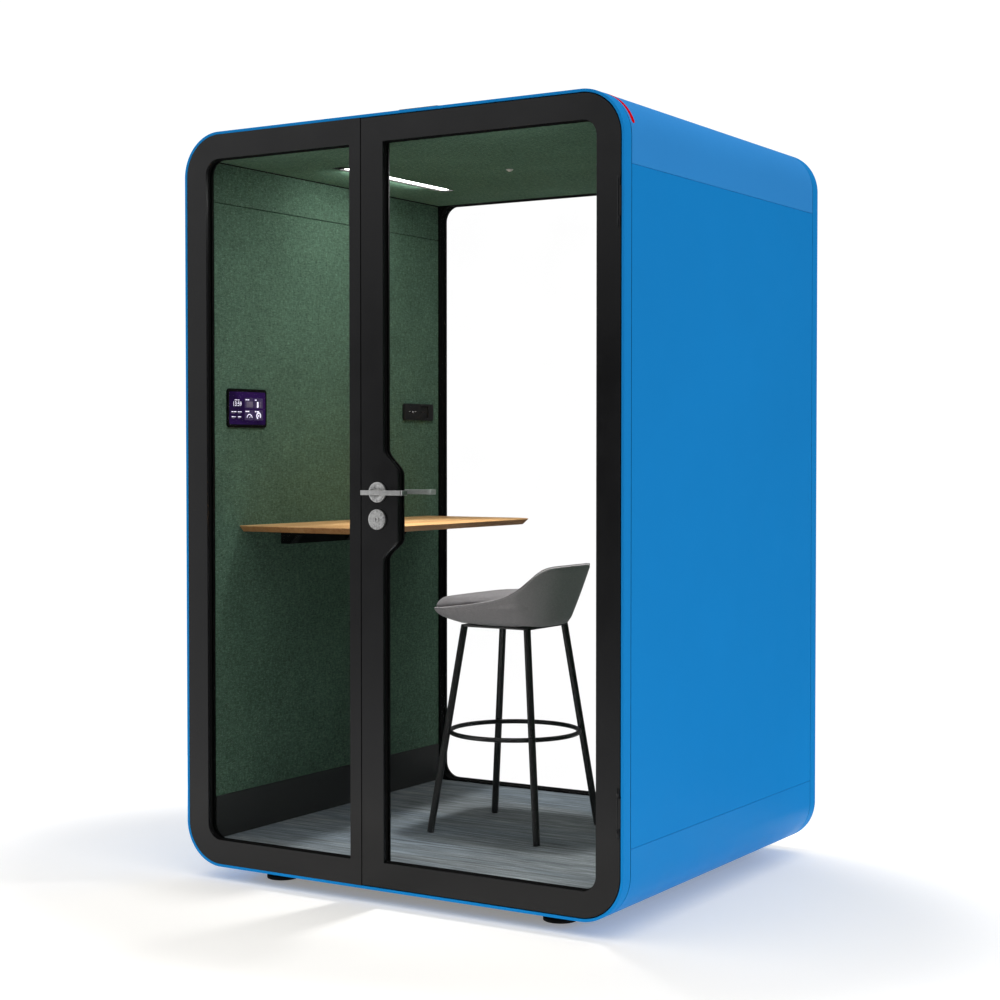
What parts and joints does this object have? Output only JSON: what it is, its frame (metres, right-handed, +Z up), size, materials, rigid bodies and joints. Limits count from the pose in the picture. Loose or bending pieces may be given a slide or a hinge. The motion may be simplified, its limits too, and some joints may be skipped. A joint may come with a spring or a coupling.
{
  "type": "acoustic office pod",
  "caption": "Rounded blue one-person acoustic booth with a glazed hinged door, glass back, green felt lining, wall desk, ceiling light, roof fan and a bar stool.",
  "frame": {"origin": "floor level, at the middle of the overall plan box including the door lever", "axes": "+Z up, +X to the right seen from the front, -Y out of the door"},
  "size_m": [1.5, 1.366, 2.3],
  "materials": {
    "shell_blue": "satin blue powder coat",
    "frame_black": "fine matt black powder coat",
    "clear_glass": "clear laminated acoustic glass",
    "gasket_black": "black rubber-faced glazing bead",
    "felt_green": "moulded green acoustic felt",
    "carpet_grey": "low loop carpet with fine grey-blue lines",
    "deck_board": "raw plywood",
    "wall_wool": "acoustic wool",
    "skirting_black": "matt black",
    "steel_satin": "satin brushed",
    "lock_zinc": "zinc plated",
    "desk_oak": "oiled light oak with a solid edge",
    "black_plastic": "fine textured black",
    "white_plastic": "plain white",
    "screen_glass": "glossy dark display",
    "light_tray": "satin anodised",
    "light_white": "opal diffuser",
    "foot_black": "black painted",
    "stool_black": "satin black powder coat",
    "stool_fabric": "mid grey woven upholstery"
  },
  "bodies": {
    "root": {"front_ring": "shell_blue", "rear_ring": "shell_blue", "left_side_panel": "shell_blue", "right_side_panel": "shell_blue", "left_top_corner": "shell_blue", "right_top_corner": "shell_blue", "left_bottom_corner": "shell_blue", "right_bottom_corner": "shell_blue", "roof_panel": "shell_blue", "base_panel": "frame_black", "floor_deck": "deck_board", "carpet": "carpet_grey", "left_wall_core": "wall_wool", "right_wall_core": "wall_wool", "left_wall_felt": "felt_green", "right_wall_felt": "felt_green", "ceiling_felt": "felt_green", "left_skirting": "skirting_black", "right_skirting": "skirting_black", "rear_frame": "frame_black", "rear_glass": "clear_glass", "rear_bead": "gasket_black", "front_jamb": "frame_black", "fixed_frame": "frame_black", "fixed_glass": "clear_glass", "fixed_bead": "gasket_black", "strike_plate": "steel_satin", "hinge_lower": "frame_black", "hinge_upper": "frame_black", "hinge_pin_lower": "steel_satin", "hinge_pin_upper": "steel_satin", "desk_top": "desk_oak", "desk_bracket": "frame_black", "control_panel": "black_plastic", "control_screen": "screen_glass", "power_socket": "black_plastic", "light_channel": "light_tray", "light_diffuser": "light_white", "motion_sensor": "white_plastic", "roof_vent": "frame_black", "fan_housing": "black_plastic"},
    "door": {"door_frame": "frame_black", "door_glass": "clear_glass", "door_bead": "gasket_black", "lock_case": "lock_zinc", "outer_rose": "steel_satin", "key_cylinder": "steel_satin", "inner_plate": "steel_satin"},
    "lever": {"outer_lever": "steel_satin", "inner_lever": "steel_satin"},
    "latch": {"latch_bolt": "steel_satin"},
    "bolt": {"dead_bolt": "steel_satin"},
    "thumb": {"thumb_turn": "steel_satin"},
    "fan": {"fan_rotor": "black_plastic"},
    "foot_fl": {"foot_front_left": "foot_black"},
    "foot_fr": {"foot_front_right": "foot_black"},
    "foot_rl": {"foot_rear_left": "foot_black"},
    "foot_rr": {"foot_rear_right": "foot_black"},
    "stool": {"stool_frame": "stool_black", "stool_seat": "stool_fabric"}
  },
  "joints": [
    {"name": "door_hinge", "type": "hinge", "parent": "root", "child": "door", "pos_m": [0.733, -0.616, 1.14], "axis": [0, 0, 1], "range_deg": [0, 100]},
    {"name": "lever_turn", "type": "hinge", "parent": "door", "child": "lever", "pos_m": [-0.036, -0.596, 1.173], "axis": [0, 1, 0], "range_deg": [0, 40], "stiffness_Nm_per_rad": 1.5, "springref_deg": -34.38},
    {"name": "latch_slide", "type": "slide", "parent": "door", "child": "latch", "axis": [1, 0, 0], "range_m": [0, 0.012]},
    {"name": "thumb_turn", "type": "hinge", "parent": "door", "child": "thumb", "pos_m": [-0.037, -0.596, 1.096], "axis": [0, 1, 0], "range_deg": [0, 90]},
    {"name": "bolt_slide", "type": "slide", "parent": "door", "child": "bolt", "axis": [-1, 0, 0], "range_m": [0, 0.0145]},
    {"name": "fan_spin", "type": "hinge", "parent": "root", "child": "fan", "pos_m": [0, 0.033, 2.262], "axis": [0, 0, 1], "continuous": true},
    {"name": "stool_slide", "type": "slide", "parent": "root", "child": "stool", "axis": [1, 0, 0], "range_m": [-0.25, 0.35]},
    {"name": "foot_front_left_level", "type": "slide", "parent": "root", "child": "foot_fl", "axis": [0, 0, -1], "range_m": [0, 0.015]},
    {"name": "foot_front_right_level", "type": "slide", "parent": "root", "child": "foot_fr", "axis": [0, 0, -1], "range_m": [0, 0.015]},
    {"name": "foot_rear_left_level", "type": "slide", "parent": "root", "child": "foot_rl", "axis": [0, 0, -1], "range_m": [0, 0.015]},
    {"name": "foot_rear_right_level", "type": "slide", "parent": "root", "child": "foot_rr", "axis": [0, 0, -1], "range_m": [0, 0.015]}
  ],
  "couplings": [
    {"joint": "latch_slide", "follows": "lever_turn", "m_per_rad": 0.0165},
    {"joint": "bolt_slide", "follows": "thumb_turn", "m_per_rad": 0.0089}
  ]
}
